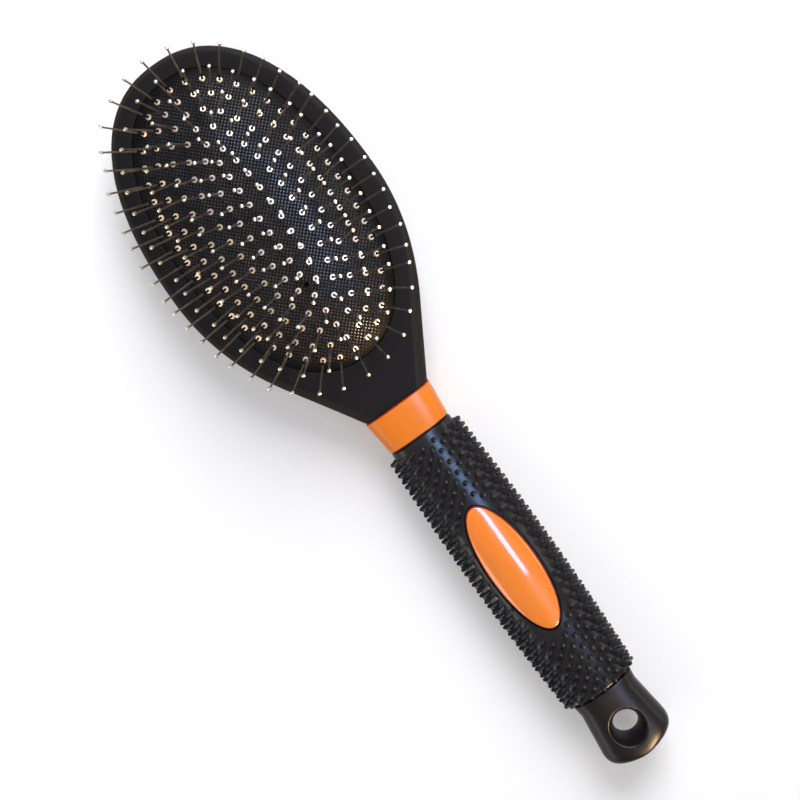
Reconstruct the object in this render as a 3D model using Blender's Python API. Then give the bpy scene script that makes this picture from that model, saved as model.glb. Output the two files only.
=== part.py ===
"""An oval pin brush, lying on its back with its pins up.

+X runs along the brush from the handle to the head, +Y across it, and +Z is up, along the pins.
The floor is Z = 0, and the middle of the whole length is X = 0. Lengths are in metres.
"""

import math

import bmesh
import bpy
import numpy as np

# Head, from above: half an oval at the tip, a swelling side, then a straight taper to the neck
HEAD_HALF_WIDTH = 0.0348
NECK_TO_WIDEST = 0.0601
WIDEST_TO_TIP = 0.0599
TIP_OVAL_POWER = 2.29
TAPER_LENGTH = 0.0200
TAPER_SLOPE = 0.60
NECK_HALF_WIDTH = 0.0110

# Head, from the side
HEAD_THICKNESS = 0.0189
BACK_BOWL_HEIGHT = 0.0112
BACK_BOWL_INSET = 0.0140
FACE_ROUND = 0.0022
NECK_HALF_DEPTH = 0.0088
NECK_BLEND_LENGTH = 0.0380
NECK_LOWEST_ANGLE = math.radians(72)
NECK_SEAM_ANGLE = math.radians(8)

# Pocket in the face, which is the air chamber under the pad
FACE_BORDER = 0.0067
PAD_FROM_NECK = 0.0159
POCKET_DEPTH = 0.0125
GROOVE_REACH = 0.0013
GROOVE_TOP = 0.0022
GROOVE_HEIGHT = 0.0014

# Rubber pad
PAD_CROWN = 0.0086
PAD_RIM_DROP = 0.0003
PAD_THICKNESS = 0.0015
PAD_OVAL_POWER = 2.2
PAD_RIM_SLIT = 0.0006
PAD_EDGE_SHARE = 0.94
VENT_RADIUS = 0.0007
VENT_WALL = 0.0003
VENT_FROM_LAST_PIN = 0.0030

# Pins, from the middle of the pad outwards
RING_SHARES = (0.190, 0.378, 0.553, 0.718, 0.868)
RING_PIN_COUNTS = (22, 28, 34, 40, 46)
RING_LEANS_ALONG = tuple(math.radians(angle) for angle in (4.7, 7.5, 11.0, 18.2, 27.2))
RING_LEANS_ACROSS = tuple(math.radians(angle) for angle in (4.2, 11.9, 18.7, 26.4, 32.7))
ROW_PIN_COUNT = 9
ROW_TIP_GAP = 0.0010
PIN_LENGTH = 0.0178
PIN_ROOT_DEPTH = 0.0006
PIN_FOOT_RADIUS = 0.00095
PIN_FOOT_HEIGHT = 0.00075
PIN_WIRE_RADIUS = 0.0004
PIN_BALL_RADIUS = 0.0006
PIN_BALL_LENGTH = 0.0012
PIN_SIDES = 4

# Handle, in order from the neck: collar, grip sleeve, end cap
COLLAR_LENGTH = 0.0115
COLLAR_END_HALF_WIDTH = 0.0100
COLLAR_EDGE = 0.0004
COLLAR_OVAL_POWER = 2.5
TANG_HALF_WIDTH = 0.0075
TANG_HALF_DEPTH = 0.0052
TANG_WALL = 0.0020
TANG_ROOT = 0.0080
TANG_BORE_START = 0.0080
SLEEVE_LENGTH = 0.0894
SLEEVE_END_HALF_WIDTH = 0.0101
SLEEVE_BELLY = 0.0012
SLEEVE_DEPTH_SHARE = 0.84
SLEEVE_PLAIN_BAND = 0.0018
STUD_HEIGHT = 0.0017
STUD_COLUMNS = 34
STUD_PITCH = 0.0038

# Badge in the front of the sleeve
BADGE_HALF_LENGTH = 0.0208
BADGE_HALF_WIDTH = 0.0073
BADGE_FROM_NECK = 0.0573
BADGE_BORDER = 0.0016
BADGE_SEAT_DROP = 0.0031
BADGE_EDGE_RISE = 0.0003
BADGE_DOME = 0.0008

# End cap with its hanging hole
CAP_SHOULDER_HALF_WIDTH = 0.0099
CAP_WAIST_HALF_WIDTH = 0.0094
CAP_FLARE_HALF_WIDTH = 0.0111
CAP_HALF_DEPTH = 0.0076
CAP_END_ROUND = 0.0012
CAP_OVAL_POWER = 2.6
CAP_TO_WAIST = 0.0042
CAP_TO_FLARE = 0.0166
CAP_LENGTH = 0.0219
CAP_SPIGOT_LENGTH = 0.0100
CAP_NECKING_SHARES = ((0, 0), (1 / 3, 1 / 3), (2 / 3, 3 / 4), (1, 1))
HOLE_FROM_CAP_END = 0.0097
HOLE_WAIST_RADIUS = 0.0037
HOLE_MOUTH_RADIUS = 0.0057
HOLE_LEVEL_SHARES = (-1.2, -1, -0.6, 0, 0.6, 1, 1.2)

# Fits and mesh counts
CLEARANCE = 0.0003
CUT_OVERRUN = 0.0020
OVAL_COUNT = 44
OUTLINE_COUNT = 27
ROUND_COUNT = 32
FINE_COUNT = 720
BOWL_STEPS = 4
FACE_STEPS = 3

# Places worked out from the sizes above
AXIS_Z = (SLEEVE_END_HALF_WIDTH + SLEEVE_BELLY) * SLEEVE_DEPTH_SHARE + STUD_HEIGHT
FACE_Z = HEAD_THICKNESS
RIM_Z = FACE_Z - PAD_RIM_DROP
PAD_HALF_WIDTH = HEAD_HALF_WIDTH - FACE_BORDER
HEAD_LENGTH = NECK_TO_WIDEST + WIDEST_TO_TIP
PAD_LENGTH = HEAD_LENGTH - FACE_BORDER - PAD_FROM_NECK
PAD_RIDGE_HALF = PAD_LENGTH / 2 - PAD_HALF_WIDTH
DOME_RADIUS = (PAD_HALF_WIDTH**2 + PAD_CROWN**2) / (2 * PAD_CROWN)
SLEEVE_START = COLLAR_LENGTH + CLEARANCE
CAP_START = SLEEVE_START + SLEEVE_LENGTH + CLEARANCE
HANDLE_LENGTH = CAP_START + CAP_LENGTH
NECK_X = (HANDLE_LENGTH - HEAD_LENGTH) / 2
TIP_X = NECK_X + HEAD_LENGTH
PAD_X = TIP_X - FACE_BORDER - PAD_LENGTH / 2
BADGE_X = NECK_X - BADGE_FROM_NECK
HOLE_X = NECK_X - HANDLE_LENGTH + HOLE_FROM_CAP_END


def clear_scene():
    for obj in list(bpy.data.objects):
        bpy.data.objects.remove(obj, do_unlink=True)


def material(name, colour, roughness, metallic=0.0):
    """A Principled material with a plain colour."""
    mat = bpy.data.materials.new(name)
    mat.use_nodes = True
    shader = mat.node_tree.nodes["Principled BSDF"]
    shader.inputs["Base Color"].default_value = (*colour, 1.0)
    shader.inputs["Roughness"].default_value = roughness
    shader.inputs["Metallic"].default_value = metallic
    mat.diffuse_color = (*colour, 1.0)
    return mat


def solid(name, bm, mat, parent=None):
    """Turns a closed bmesh into an object with outward faces."""
    bmesh.ops.recalc_face_normals(bm, faces=bm.faces)
    mesh = bpy.data.meshes.new(name)
    bm.to_mesh(mesh)
    bm.free()
    if mat:
        mesh.materials.append(mat)
    mesh.shade_smooth()
    mesh.set_sharp_from_angle(angle=math.radians(35))
    obj = bpy.data.objects.new(name, mesh)
    bpy.context.scene.collection.objects.link(obj)
    obj.parent = parent
    return obj


def helper(obj):
    """Marks a cutter or a guide, which is no part of the brush."""
    obj.hide_render = True
    obj.display_type = "WIRE"
    return obj


def boolean(obj, other, operation):
    modifier = obj.modifiers.new(other.name, "BOOLEAN")
    modifier.operation = operation
    modifier.solver = "EXACT"
    modifier.object = helper(other)


def add_loop(bm, points):
    return [bm.verts.new(point) for point in points]


def bridge(bm, first, second):
    """A band of quads between two closed loops of as many points."""
    for i in range(len(first)):
        j = (i + 1) % len(first)
        bm.faces.new((first[i], first[j], second[j], second[i]))


def loft(loops):
    """A closed solid through loops of points, with a flat cap at each end."""
    bm = bmesh.new()
    made = [add_loop(bm, loop) for loop in loops]
    for first, second in zip(made, made[1:]):
        bridge(bm, first, second)
    bm.faces.new(made[0])
    bm.faces.new(made[-1])
    return bm


def turned_ring(loops):
    """A closed ring solid: the last loop joins the first."""
    bm = bmesh.new()
    made = [add_loop(bm, loop) for loop in loops]
    for i, first in enumerate(made):
        bridge(bm, first, made[(i + 1) % len(made)])
    return bm


def squared(value, power):
    """A cosine or sine bent so that it draws an oval of this power; 2 is an ellipse."""
    return math.copysign(abs(value) ** (2 / power), value)


def section(x, half_width, half_depth, count=ROUND_COUNT, power=2):
    """An oval across the handle at x."""
    angles = [2 * math.pi * i / count for i in range(count)]
    across = [half_width * squared(math.cos(a), power) for a in angles]
    up = [AXIS_Z + half_depth * squared(math.sin(a), power) for a in angles]
    return [(x, y, z) for y, z in zip(across, up)]


def evenly(points, count):
    """As many points at equal steps along a closed run of fine points, from its first."""
    closed = np.vstack([points, points[:1]])
    walked = np.concatenate([[0], np.cumsum(np.hypot(*np.diff(closed, axis=0).T))])
    wanted = np.arange(count) / count * walked[-1]
    return np.column_stack([np.interp(wanted, walked, closed[:, k]) for k in (0, 1)])


def pad_oval(half_width, count):
    """An oval about the middle of the pad, at one distance all round from the pad's own edge."""
    half_length = PAD_RIDGE_HALF + half_width
    angle = np.arange(FINE_COUNT) / FINE_COUNT * 2 * math.pi
    power = 2 / PAD_OVAL_POWER
    along = half_length * np.sign(np.cos(angle)) * np.abs(np.cos(angle)) ** power
    across = half_width * np.sign(np.sin(angle)) * np.abs(np.sin(angle)) ** power
    return evenly(np.column_stack([along, across]), count)


def oval_normal(x, y, half_width):
    """The outward direction of pad_oval at one of its points."""
    half_length = PAD_RIDGE_HALF + half_width
    along = math.copysign(abs(x / half_length) ** (PAD_OVAL_POWER - 1), x) / half_length
    across = math.copysign(abs(y / half_width) ** (PAD_OVAL_POWER - 1), y) / half_width
    size = math.hypot(along, across)
    return along / size, across / size


def dome(half_width):
    """The height of the pad's top above its rim on the oval of this half width."""
    foot = math.sqrt(DOME_RADIUS**2 - PAD_HALF_WIDTH**2)
    return math.sqrt(DOME_RADIUS**2 - half_width**2) - foot


def oval_loop(half_width, z, count=OVAL_COUNT):
    return [(x, y, z) for x, y in pad_oval(half_width, count)]


def head_outline():
    """Points and inward directions of the head's edge from the neck at +Y round to -Y."""
    near_x = np.linspace(0, NECK_TO_WIDEST, FINE_COUNT)[:-1]
    swell_length = NECK_TO_WIDEST - TAPER_LENGTH
    swell = HEAD_HALF_WIDTH - NECK_HALF_WIDTH - TAPER_SLOPE * TAPER_LENGTH
    power = TAPER_SLOPE * swell_length / swell  # the side leaves the taper with no corner
    to_go = (NECK_TO_WIDEST - near_x).clip(max=swell_length) / swell_length
    side_y = HEAD_HALF_WIDTH - swell * to_go**power
    near_y = np.where(near_x < TAPER_LENGTH, NECK_HALF_WIDTH + TAPER_SLOPE * near_x, side_y)
    angle = np.linspace(math.pi / 2, 0, FINE_COUNT)
    far_x = NECK_TO_WIDEST + WIDEST_TO_TIP * np.cos(angle).clip(0) ** (2 / TIP_OVAL_POWER)
    far_y = HEAD_HALF_WIDTH * np.sin(angle) ** (2 / TIP_OVAL_POWER)
    fine = np.column_stack([np.append(near_x, far_x), np.append(near_y, far_y)])
    walked = np.concatenate([[0], np.cumsum(np.hypot(*np.diff(fine, axis=0).T))])
    wanted = np.linspace(0, walked[-1], OUTLINE_COUNT)
    side = np.column_stack([np.interp(wanted, walked, fine[:, k]) for k in (0, 1)])
    heading = np.gradient(side, axis=0)
    heading[-1] = (0, -1)
    inward = np.column_stack([heading[:, 1], -heading[:, 0]])
    inward /= np.hypot(*inward.T)[:, None]
    mirror = np.array([1, -1])
    points = np.vstack([side, side[-2::-1] * mirror])
    return points, np.vstack([inward, inward[-2::-1] * mirror])


def head_levels():
    """For each level from the back to the face: inset and height, at the head and at the neck."""
    top_angle = math.asin((FACE_Z - AXIS_Z) / NECK_HALF_DEPTH)
    levels = []
    for step in range(BOWL_STEPS, -1, -1):
        share = step / BOWL_STEPS
        angle = share * math.pi / 2
        at_neck = NECK_SEAM_ANGLE + share * (NECK_LOWEST_ANGLE - NECK_SEAM_ANGLE)
        head = (BACK_BOWL_INSET * (1 - math.cos(angle)), BACK_BOWL_HEIGHT * (1 - math.sin(angle)))
        neck_z = AXIS_Z - NECK_HALF_DEPTH * math.sin(at_neck)
        levels.append((head, (NECK_HALF_WIDTH * (1 - math.cos(at_neck)), neck_z)))
    for step in range(FACE_STEPS + 1):
        share = step / FACE_STEPS
        angle = share * math.pi / 2
        at_neck = NECK_SEAM_ANGLE + share * (top_angle - NECK_SEAM_ANGLE)
        head_z = FACE_Z - FACE_ROUND * (1 - math.sin(angle))
        neck_z = AXIS_Z + NECK_HALF_DEPTH * math.sin(at_neck)
        inset = NECK_HALF_WIDTH * (1 - math.cos(at_neck))
        levels.append(((FACE_ROUND * (1 - math.cos(angle)), head_z), (inset, neck_z)))
    return levels


def brush_body(mat):
    """Head and tang in one moulding: bowl-backed paddle, flat face, open tube for the handle."""
    points, inward = head_outline()
    t = np.clip(points[:, 0] / NECK_BLEND_LENGTH, 0, 1)
    blend = t * t * (3 - 2 * t)
    straight = np.column_stack([np.zeros(len(points)), -np.sign(points[:, 1])])
    turn = straight * (1 - blend)[:, None] + inward * blend[:, None]
    turn /= np.hypot(*turn.T)[:, None]
    bm = bmesh.new()
    rows = []
    for head, neck in head_levels():
        inset = head[0] * blend + neck[0] * (1 - blend)
        z = head[1] * blend + neck[1] * (1 - blend)
        place = points + turn * inset[:, None]
        rows.append(add_loop(bm, [(NECK_X + x, y, h) for (x, y), h in zip(place, z)]))
    for low, high in zip(rows, rows[1:]):
        for i in range(len(low) - 1):
            bm.faces.new((low[i], low[i + 1], high[i + 1], high[i]))
    bm.faces.new(rows[-1])
    last = len(rows[0]) - 1
    for i in range(last // 2 - 1):
        bm.faces.new((rows[0][i], rows[0][i + 1], rows[0][last - i - 1], rows[0][last - i]))
    middle = last // 2
    bm.faces.new((rows[0][middle - 1], rows[0][middle], rows[0][middle + 1]))
    bm.faces.new([row[0] for row in rows] + [row[-1] for row in reversed(rows)])
    body = solid("brush_body", bm, mat)

    boolean(body, tang(), "UNION")
    pocket = [oval_loop(PAD_HALF_WIDTH, z) for z in (FACE_Z - POCKET_DEPTH, FACE_Z + CUT_OVERRUN)]
    boolean(body, pad_piece("pocket_cutter", loft(pocket)), "DIFFERENCE")
    low = FACE_Z - GROOVE_TOP - GROOVE_HEIGHT
    groove = [oval_loop(PAD_HALF_WIDTH + GROOVE_REACH, z) for z in (low, low + GROOVE_HEIGHT)]
    boolean(body, pad_piece("groove_cutter", loft(groove)), "DIFFERENCE")
    return body


def tang():
    """The tube that carries collar, sleeve and end cap, open at its far end."""
    far = NECK_X - CAP_START + CLEARANCE
    bore_width = TANG_HALF_WIDTH - TANG_WALL
    bore_depth = TANG_HALF_DEPTH - TANG_WALL
    loops = [
        section(NECK_X + TANG_ROOT, TANG_HALF_WIDTH, TANG_HALF_DEPTH),
        section(far, TANG_HALF_WIDTH, TANG_HALF_DEPTH),
        section(far, bore_width, bore_depth),
        section(NECK_X - TANG_BORE_START, bore_width, bore_depth),
    ]
    return solid("tang_tube", loft(loops), None)


def pad_piece(name, bm, mat=None, parent=None):
    """A piece drawn about the middle of the pad: its place is its own, or its parent's."""
    obj = solid(name, bm, mat, parent)
    if parent is None:
        obj.location = (PAD_X, 0, 0)
    return obj


def pin_axis(x, y, ring):
    """The direction of a pin of this ring, which leans less at the ends of its oval."""
    out_x, out_y = oval_normal(x, y, RING_SHARES[ring] * PAD_HALF_WIDTH)
    along = out_x * math.sin(RING_LEANS_ALONG[ring])
    across = out_y * math.sin(RING_LEANS_ACROSS[ring])
    return np.array([along, across, math.sqrt(1 - along**2 - across**2)])


def add_pin(bm, foot, axis):
    """One pin: foot, wire and ball tip."""
    side = np.cross(axis, (1, 0, 0))
    side /= np.linalg.norm(side)
    across = np.cross(axis, side)
    profile = (
        (-PIN_ROOT_DEPTH, PIN_FOOT_RADIUS),
        (PIN_FOOT_HEIGHT, PIN_WIRE_RADIUS),
        (PIN_LENGTH - PIN_BALL_LENGTH, PIN_WIRE_RADIUS),
        (PIN_LENGTH - PIN_BALL_LENGTH / 2, PIN_BALL_RADIUS),
    )
    angles = [2 * math.pi * (i + 1 / 2) / PIN_SIDES for i in range(PIN_SIDES)]
    loops = []
    for reach, radius in profile:
        middle = foot + axis * reach
        spokes = [side * math.cos(a) + across * math.sin(a) for a in angles]
        loops.append(add_loop(bm, [middle + radius * spoke for spoke in spokes]))
    for first, second in zip(loops, loops[1:]):
        bridge(bm, first, second)
    bm.faces.new(loops[0])
    tip = bm.verts.new(foot + axis * PIN_LENGTH)
    for i, corner in enumerate(loops[-1]):
        bm.faces.new((corner, loops[-1][(i + 1) % PIN_SIDES], tip))


def row_pins(row, parent):
    """The upright pins of the middle row."""
    bm = bmesh.new()
    for x in row:
        add_pin(bm, np.array((x, 0, RIM_Z + dome(0))), np.array((0.0, 0.0, 1.0)))
    return pad_piece("row_pins", bm, None, parent)


def ring_pins(ring, parent):
    """The pins of one oval."""
    half_width = RING_SHARES[ring] * PAD_HALF_WIDTH
    bm = bmesh.new()
    for x, y in pad_oval(half_width, RING_PIN_COUNTS[ring]):
        add_pin(bm, np.array((x, y, RIM_Z + dome(half_width))), pin_axis(x, y, ring))
    return pad_piece(f"ring_pins_{ring + 1}", bm, None, parent)


def pad_slices(mat, parent):
    """The dome in oval slices, each with its own ring of pins, from the middle outwards."""
    half_widths = [share * PAD_HALF_WIDTH for share in RING_SHARES]
    cuts = [(a + b) / 2 for a, b in zip([0] + half_widths, half_widths)]
    cuts.append(PAD_EDGE_SHARE * PAD_HALF_WIDTH)

    edge = cuts[0] - CLEARANCE / 2
    top = RIM_Z + dome(edge)
    centre = loft([oval_loop(edge, z) for z in (top - PAD_THICKNESS, top)])
    centre = pad_piece("cushion_centre", centre, mat, parent)
    foci = (PAD_RIDGE_HALF + edge)**2 - edge**2  # the vent goes as near the oval's end as fits
    vent_x = -math.sqrt(foci * (1 - ((VENT_RADIUS + VENT_WALL) / edge)**2))
    row = np.linspace(PAD_RIDGE_HALF - ROW_TIP_GAP, vent_x + VENT_FROM_LAST_PIN, ROW_PIN_COUNT)
    boolean(centre, row_pins(row, parent), "UNION")
    boolean(centre, vent_cutter(vent_x, parent), "DIFFERENCE")

    for ring in range(len(half_widths)):
        inner = cuts[ring] + CLEARANCE / 2
        outer = cuts[ring + 1] - CLEARANCE / 2
        inner_z = RIM_Z + dome(inner)
        outer_z = RIM_Z + dome(outer)
        loops = [
            oval_loop(inner, inner_z),
            oval_loop(outer, outer_z),
            oval_loop(outer, outer_z - PAD_THICKNESS),
            oval_loop(inner, inner_z - PAD_THICKNESS),
        ]
        piece = pad_piece(f"cushion_ring_{ring + 1}", turned_ring(loops), mat, parent)
        boolean(piece, ring_pins(ring, parent), "UNION")


def vent_cutter(x, parent):
    angles = [2 * math.pi * i / (ROUND_COUNT // 4) for i in range(ROUND_COUNT // 4)]
    rim = [(x + VENT_RADIUS * math.cos(a), VENT_RADIUS * math.sin(a)) for a in angles]
    crown = RIM_Z + PAD_CROWN
    levels = (crown - PAD_THICKNESS - CUT_OVERRUN, crown + CUT_OVERRUN)
    return pad_piece("vent_cutter", loft([[(a, b, z) for a, b in rim] for z in levels]), None, parent)


def cushion_rim(mat):
    """The pad's fixed edge, with the bead that snaps into the groove of the pocket."""
    inner = PAD_EDGE_SHARE * PAD_HALF_WIDTH + CLEARANCE / 2
    neck = PAD_HALF_WIDTH - PAD_RIM_SLIT
    bead = PAD_HALF_WIDTH + GROOVE_REACH - CLEARANCE
    bead_top = FACE_Z - GROOVE_TOP - CLEARANCE
    bead_low = FACE_Z - GROOVE_TOP - GROOVE_HEIGHT + CLEARANCE
    loops = [
        oval_loop(inner, RIM_Z + dome(inner)),
        oval_loop(neck, RIM_Z + dome(neck)),
        oval_loop(neck, bead_top),
        oval_loop(bead, bead_top),
        oval_loop(bead, bead_low),
        oval_loop(inner, bead_low),
    ]
    return pad_piece("cushion_rim", turned_ring(loops), mat)


def tang_bore_loop(x, count=ROUND_COUNT):
    """The bore of a piece that slides over the tang."""
    return section(x, TANG_HALF_WIDTH + CLEARANCE, TANG_HALF_DEPTH + CLEARANCE, count)


def neck_collar(mat):
    """The coloured sleeve between head and grip."""
    depth_share = NECK_HALF_DEPTH / NECK_HALF_WIDTH
    near = NECK_X - CLEARANCE
    far = NECK_X - COLLAR_LENGTH
    outside = [
        (near, NECK_HALF_WIDTH - COLLAR_EDGE),
        (near - COLLAR_EDGE, NECK_HALF_WIDTH),
        (far + COLLAR_EDGE, COLLAR_END_HALF_WIDTH),
        (far, COLLAR_END_HALF_WIDTH - COLLAR_EDGE),
    ]
    loops = [tang_bore_loop(near)]
    for x, half in outside:
        loops.append(section(x, half, half * depth_share, power=COLLAR_OVAL_POWER))
    loops.append(tang_bore_loop(far))
    return solid("neck_collar", turned_ring(loops), mat)


def sleeve_half_width(x):
    """The sleeve's half width under its studs: a belly between two equal ends."""
    share = (NECK_X - SLEEVE_START - x) / SLEEVE_LENGTH
    return SLEEVE_END_HALF_WIDTH + SLEEVE_BELLY * math.sin(math.pi * min(max(share, 0), 1))


def sleeve_top(x, y):
    """The height of the sleeve's plain skin above the floor at x and y."""
    half = sleeve_half_width(x)
    return AXIS_Z + half * SLEEVE_DEPTH_SHARE * math.sqrt(1 - (y / half) ** 2)


def under_badge(x, y, z):
    """Whether a place on the sleeve belongs to the smooth field of the badge."""
    along = (x - BADGE_X) / (BADGE_HALF_LENGTH + BADGE_BORDER)
    across = y / (BADGE_HALF_WIDTH + BADGE_BORDER)
    return z > AXIS_Z and along**2 + across**2 < 1


def grip_sleeve(mat):
    """Rubber sleeve with staggered pointed studs, a plain band at each end and the badge's seat."""
    start = NECK_X - SLEEVE_START
    end = start - SLEEVE_LENGTH
    rows = round((SLEEVE_LENGTH - 2 * SLEEVE_PLAIN_BAND) / STUD_PITCH) * 2 + 1
    row_x = np.linspace(start - SLEEVE_PLAIN_BAND, end + SLEEVE_PLAIN_BAND, rows)
    bm = bmesh.new()
    plain = [section(x, sleeve_half_width(x), sleeve_half_width(x) * SLEEVE_DEPTH_SHARE, STUD_COLUMNS)
             for x in (start, end)]
    bores = [tang_bore_loop(x, STUD_COLUMNS) for x in (start, end)]
    studded = []
    for j, x in enumerate(row_x):
        half = sleeve_half_width(x)
        base = section(x, half, half * SLEEVE_DEPTH_SHARE, STUD_COLUMNS)
        tips = section(x, half + STUD_HEIGHT, half * SLEEVE_DEPTH_SHARE + STUD_HEIGHT, STUD_COLUMNS)
        inside = 0 < j < rows - 1
        loop = []
        for i in range(STUD_COLUMNS):
            raised = inside and (i + j) % 2 == 0 and not under_badge(*tips[i])
            loop.append(tips[i] if raised else base[i])
        studded.append(add_loop(bm, loop))
    for j in range(rows - 1):
        for i in range(STUD_COLUMNS):
            k = (i + 1) % STUD_COLUMNS
            a, b = studded[j][i], studded[j][k]
            c, d = studded[j + 1][k], studded[j + 1][i]
            if (i + j) % 2 == 0:
                bm.faces.new((a, b, d))
                bm.faces.new((b, c, d))
            else:
                bm.faces.new((a, b, c))
                bm.faces.new((a, c, d))
    first, last = (add_loop(bm, loop) for loop in plain)
    inner_first, inner_last = (add_loop(bm, loop) for loop in bores)
    bridge(bm, first, studded[0])
    bridge(bm, studded[-1], last)
    bridge(bm, last, inner_last)
    bridge(bm, inner_last, inner_first)
    bridge(bm, inner_first, first)
    sleeve = solid("grip_sleeve", bm, mat)

    seat = [badge_loop(1, z, CLEARANCE) for z in (badge_seat_z(), AXIS_Z * 2 + CUT_OVERRUN)]
    boolean(sleeve, solid("badge_cutter", loft(seat), None), "DIFFERENCE")
    return sleeve


def badge_seat_z():
    return sleeve_top(BADGE_X, 0) - BADGE_SEAT_DROP


def badge_loop(share, z, grow=0):
    """An ellipse in the badge's outline; z is a height, or a function of the place."""
    loop = []
    for i in range(ROUND_COUNT):
        angle = 2 * math.pi * i / ROUND_COUNT
        x = BADGE_X + (BADGE_HALF_LENGTH * share + grow) * math.cos(angle)
        y = (BADGE_HALF_WIDTH * share + grow) * math.sin(angle)
        loop.append((x, y, z(x, y) if callable(z) else z))
    return loop


def badge(mat):
    """The bare domed plate in the front of the sleeve."""
    bm = bmesh.new()
    shares = [math.cos(math.pi / 2 * i / FACE_STEPS / 2) for i in range(2 * FACE_STEPS)]

    def top(share):
        rise = BADGE_EDGE_RISE + BADGE_DOME * (1 - share**2)
        return lambda x, y: sleeve_top(x, y) + rise

    loops = [add_loop(bm, badge_loop(1, badge_seat_z() + CLEARANCE))]
    loops += [add_loop(bm, badge_loop(share, top(share))) for share in shares]
    for first, second in zip(loops, loops[1:]):
        bridge(bm, first, second)
    bm.faces.new(loops[0])
    peak = bm.verts.new((BADGE_X, 0, top(0)(BADGE_X, 0)))
    for i, corner in enumerate(loops[-1]):
        bm.faces.new((corner, loops[-1][(i + 1) % ROUND_COUNT], peak))
    return solid("badge", bm, mat)


def end_cap(mat):
    """Flared plug of the handle: spigot, waist, round end and a hanging hole wide at both mouths."""
    spigot_width = TANG_HALF_WIDTH - TANG_WALL - CLEARANCE
    spigot_depth = TANG_HALF_DEPTH - TANG_WALL - CLEARANCE
    start = NECK_X - CAP_START
    loops = [
        section(start + CAP_SPIGOT_LENGTH, spigot_width, spigot_depth),
        section(start, spigot_width, spigot_depth),
    ]
    necking = CAP_SHOULDER_HALF_WIDTH - CAP_WAIST_HALF_WIDTH
    profile = [
        (CAP_TO_WAIST * along, CAP_SHOULDER_HALF_WIDTH - necking * inward, CAP_HALF_DEPTH)
        for along, inward in CAP_NECKING_SHARES
    ]
    for step in range(1, FACE_STEPS + 1):
        share = step / FACE_STEPS
        half = CAP_WAIST_HALF_WIDTH + (CAP_FLARE_HALF_WIDTH - CAP_WAIST_HALF_WIDTH) * share
        profile.append((CAP_TO_WAIST + (CAP_TO_FLARE - CAP_TO_WAIST) * share, half, CAP_HALF_DEPTH))
    steps = 2 * FACE_STEPS
    for step in range(1, steps):
        angle = math.pi / 2 * step / steps
        reach = CAP_TO_FLARE + (CAP_LENGTH - CAP_TO_FLARE) * math.sin(angle)
        depth = CAP_HALF_DEPTH - CAP_END_ROUND * (1 - math.cos(angle))
        profile.append((reach, CAP_FLARE_HALF_WIDTH * math.cos(angle), depth))
    for reach, half, depth in profile:
        loops.append(section(start - reach, half, depth, power=CAP_OVAL_POWER))
    bm = bmesh.new()
    made = [add_loop(bm, loop) for loop in loops]
    for first, second in zip(made, made[1:]):
        bridge(bm, first, second)
    bm.faces.new(made[0])
    end = bm.verts.new((start - CAP_LENGTH, 0, AXIS_Z))
    for i, corner in enumerate(made[-1]):
        bm.faces.new((corner, made[-1][(i + 1) % ROUND_COUNT], end))
    cap = solid("end_cap", bm, mat)
    boolean(cap, hole_cutter(), "DIFFERENCE")
    return cap


def hole_cutter():
    """An hourglass, narrowest on the handle's axis."""
    flare = HOLE_MOUTH_RADIUS - HOLE_WAIST_RADIUS
    loops = []
    for share in HOLE_LEVEL_SHARES:
        radius = HOLE_WAIST_RADIUS + flare * share**2
        z = AXIS_Z + CAP_HALF_DEPTH * share
        angles = [2 * math.pi * i / ROUND_COUNT for i in range(ROUND_COUNT)]
        loops.append([(HOLE_X + radius * math.cos(a), radius * math.sin(a), z) for a in angles])
    return solid("hole_cutter", loft(loops), None)


def build():
    clear_scene()
    soft_touch = material("soft_touch_abs", (0.021, 0.020, 0.022), 0.6)
    rubber = material("pad_rubber", (0.014, 0.014, 0.016), 0.7)
    orange = material("orange_abs", (0.92, 0.25, 0.02), 0.3)
    grip = material("grip_rubber", (0.013, 0.013, 0.015), 0.5)
    gloss = material("cap_abs", (0.026, 0.019, 0.020), 0.3)

    brush_body(soft_touch)
    cushion_rim(rubber)
    press_axis = bpy.data.objects.new("cushion_press_axis", None)
    bpy.context.scene.collection.objects.link(press_axis)
    press_axis.location = (PAD_X, 0, 0)
    pad_slices(rubber, press_axis)
    neck_collar(orange)
    grip_sleeve(grip)
    badge(orange)
    end_cap(gloss)


build()
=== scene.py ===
# %% [markdown]
# # A pin brush in mesh code
# This lesson dresses a pin brush: a black paddle with a domed rubber cushion, 179 ball-tipped
# pins, an orange collar and badge, a studded rubber grip and an end cap with a hanging hole.
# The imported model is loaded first, as a frame that is never moved. Each piece made here takes
# its place from that frame, rides on one of its bodies and stands for one of its nodes.

import math

import bmesh
import bpy
import numpy as np
from mathutils import Matrix, Vector


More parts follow.
